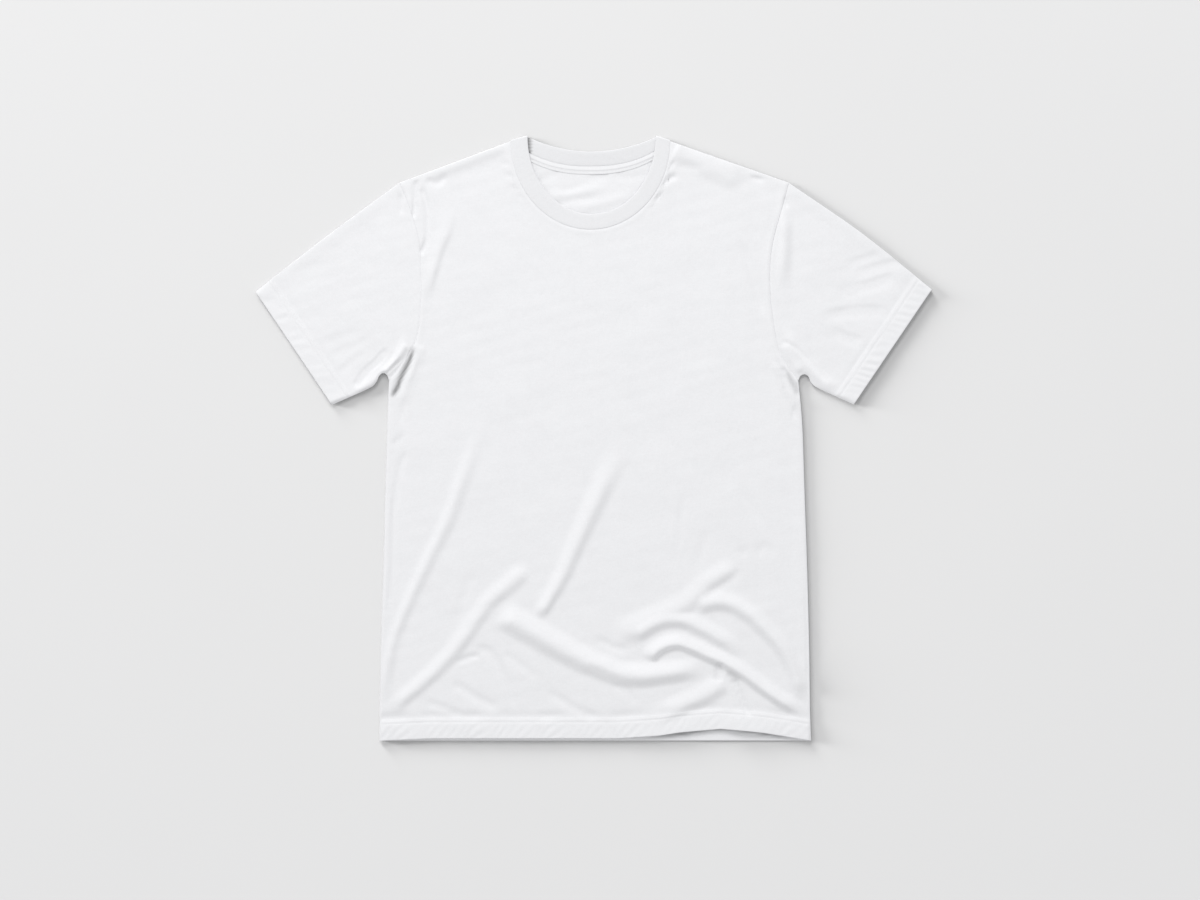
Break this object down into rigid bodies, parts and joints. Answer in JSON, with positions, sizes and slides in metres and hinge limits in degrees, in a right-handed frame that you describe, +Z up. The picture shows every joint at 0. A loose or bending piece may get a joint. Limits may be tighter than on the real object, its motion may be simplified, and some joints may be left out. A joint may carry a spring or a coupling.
{
  "type": "crew neck t-shirt",
  "caption": "Plain short-sleeved crew neck t-shirt lying flat, with set-in sleeves, a rib neckband and turned hems.",
  "frame": {"origin": "on the surface the shirt lies on, under the middle of its outline", "axes": "+X across the shirt from the left sleeve of the view to the right one, +Y from the hem to the neck, +Z up, out of the front of the shirt"},
  "size_m": [0.8246, 0.738, 0.0109],
  "materials": {
    "jersey": "white combed cotton jersey, matt",
    "rib": "white fine cotton rib, matt",
    "tape": "white cotton neck tape, matt"
  },
  "bodies": {
    "root": {"back_panel": "jersey", "front_panel": "jersey", "left_sleeve": "jersey", "right_sleeve": "jersey", "neckband": "rib", "neck_tape": "tape"}
  },
  "joints": []
}
